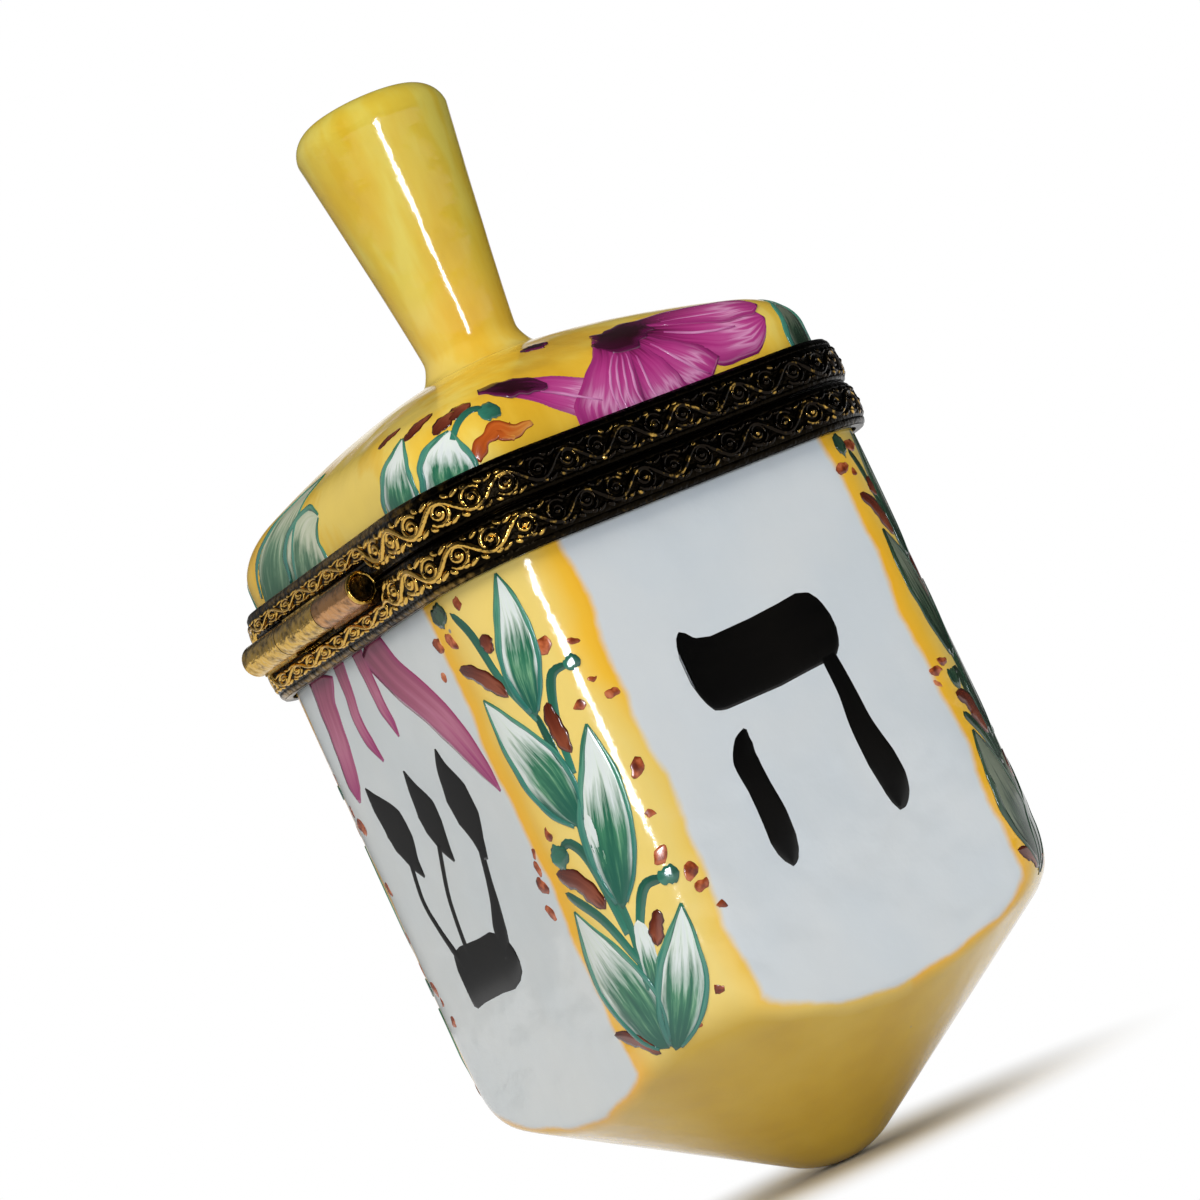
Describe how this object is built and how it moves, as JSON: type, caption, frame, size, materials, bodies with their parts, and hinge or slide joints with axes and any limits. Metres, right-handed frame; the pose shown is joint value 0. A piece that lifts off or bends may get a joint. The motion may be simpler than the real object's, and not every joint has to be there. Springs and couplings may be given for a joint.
{
  "type": "hinged porcelain box in dreidel form",
  "caption": "Four-sided porcelain trinket box shaped like a dreidel, with a conical tip, a domed lid with a stem, a brass rim mount, a back hinge and a front clasp.",
  "frame": {"origin": "the end of the conical tip, on the upright axis of the body", "axes": "+Z along the axis from the tip to the stem; +Y towards the hinge; -Y towards the clasp; X along the hinge pin"},
  "size_m": [0.0378, 0.0418, 0.0826],
  "materials": {
    "white_porcelain": "gloss",
    "yellow_porcelain": "gloss",
    "antique_brass": "patinated",
    "gilt_brass": "worn",
    "cement": "matte"
  },
  "bodies": {
    "base": {"body_shell": "white_porcelain", "base_bezel": "antique_brass", "base_collar": "gilt_brass", "base_cement": "cement", "base_knuckle_near": "gilt_brass", "base_knuckle_far": "gilt_brass", "hinge_pin": "gilt_brass", "clasp_stud": "gilt_brass"},
    "lid": {"lid_shell": "yellow_porcelain", "lid_bezel": "antique_brass", "lid_liner": "gilt_brass", "lid_cement": "cement", "lid_knuckle": "gilt_brass", "clasp_tongue": "gilt_brass"}
  },
  "joints": [
    {"name": "lid_hinge", "type": "hinge", "parent": "base", "child": "lid", "pos_m": [0.003, 0.0197, 0.0494], "axis": [-1, 0, 0], "range_deg": [0, 105]}
  ]
}
